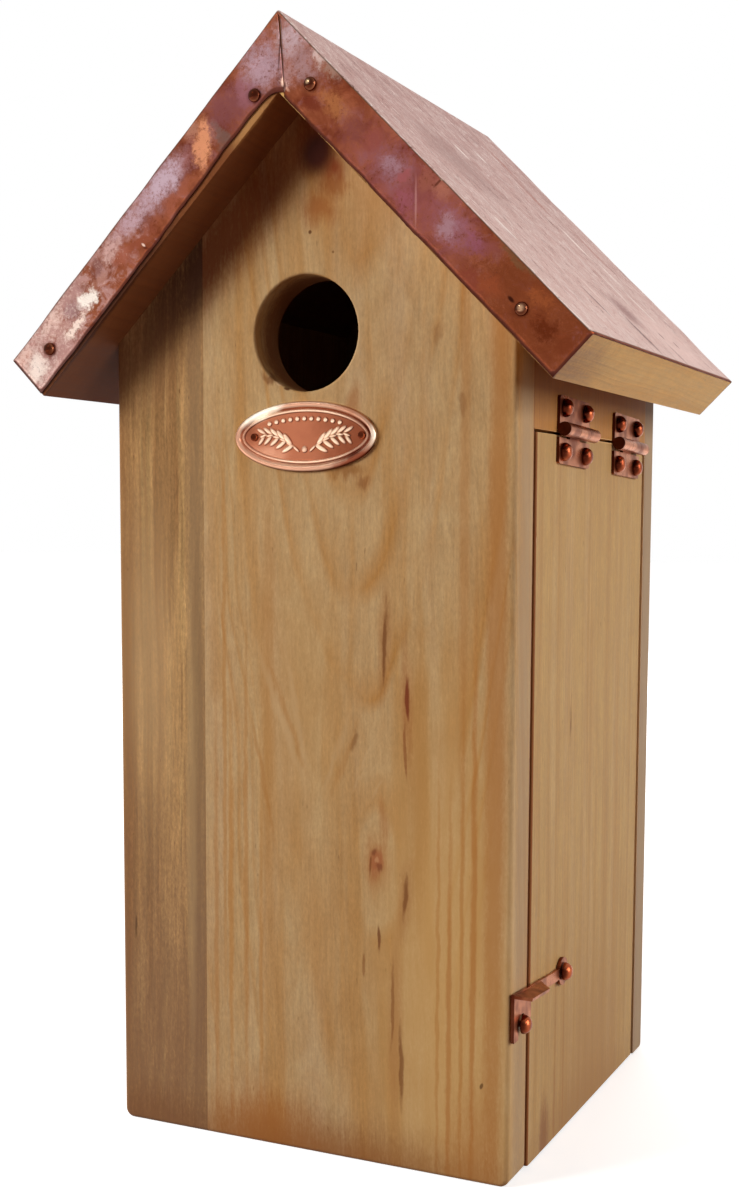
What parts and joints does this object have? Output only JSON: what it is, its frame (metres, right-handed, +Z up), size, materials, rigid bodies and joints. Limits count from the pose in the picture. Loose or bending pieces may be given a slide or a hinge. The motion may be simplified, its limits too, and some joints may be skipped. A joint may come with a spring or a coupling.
{
  "type": "bird nest box",
  "caption": "Wooden bird nest box with a gabled copper-clad roof, round entrance hole, latched side door on hinges, oval front plaque and keyhole hanger on the back.",
  "frame": {"origin": "bottom centre of the bounding box: on the surface the box stands on, midway between the eaves and midway between the front and rear fascia nails' heads", "axes": "+Z up, -Y out of the front board with the entrance hole, +Y out of the back board with the hanger, +X out of the side door"},
  "size_m": [0.176, 0.1564, 0.317],
  "materials": {
    "pine_light": "bare planed softwood, light tan",
    "pine_dark": "bare planed softwood, weathered darker",
    "copper_sheet": "thin copper sheet with a light patina",
    "copper_plated_steel": "copper-plated steel, slightly tarnished",
    "bright_steel": "zinc-plated steel"
  },
  "bodies": {
    "box": {"front_narrow_stave": "pine_dark", "front_wide_stave": "pine_light", "back_board": "pine_dark", "left_side_board": "pine_light", "hinge_rail": "pine_light", "floor_board": "pine_light", "left_roof_board": "pine_light", "right_roof_board": "pine_light", "copper_roof_sheet": "copper_sheet", "front_fascia_nails": "copper_plated_steel", "rear_fascia_nails": "copper_plated_steel", "roof_nails": "bright_steel", "oval_plaque": "copper_sheet", "plaque_nails": "copper_plated_steel", "front_hinge_rail_leaf": "copper_plated_steel", "rear_hinge_rail_leaf": "copper_plated_steel", "front_hinge_pin": "copper_plated_steel", "rear_hinge_pin": "copper_plated_steel", "rail_hinge_nails": "copper_plated_steel", "latch_stud": "copper_plated_steel", "back_screws": "bright_steel", "hanger_plate": "bright_steel", "hanger_screws": "bright_steel"},
    "door": {"side_door": "pine_light", "front_hinge_door_leaf": "copper_plated_steel", "rear_hinge_door_leaf": "copper_plated_steel", "door_hinge_nails": "copper_plated_steel", "latch_pivot_nail": "copper_plated_steel"},
    "latch": {"latch_plate": "copper_plated_steel"}
  },
  "joints": [
    {"name": "door_hinge", "type": "hinge", "parent": "box", "child": "door", "pos_m": [0.0648, 0.0124, 0.20739], "axis": [0, -0.9995, 0.0314], "range_deg": [0, 130]},
    {"name": "latch_pivot", "type": "hinge", "parent": "door", "child": "latch", "pos_m": [0.0633, -0.0184, 0.0505], "axis": [-1, 0, 0], "range_deg": [0, 180]}
  ]
}
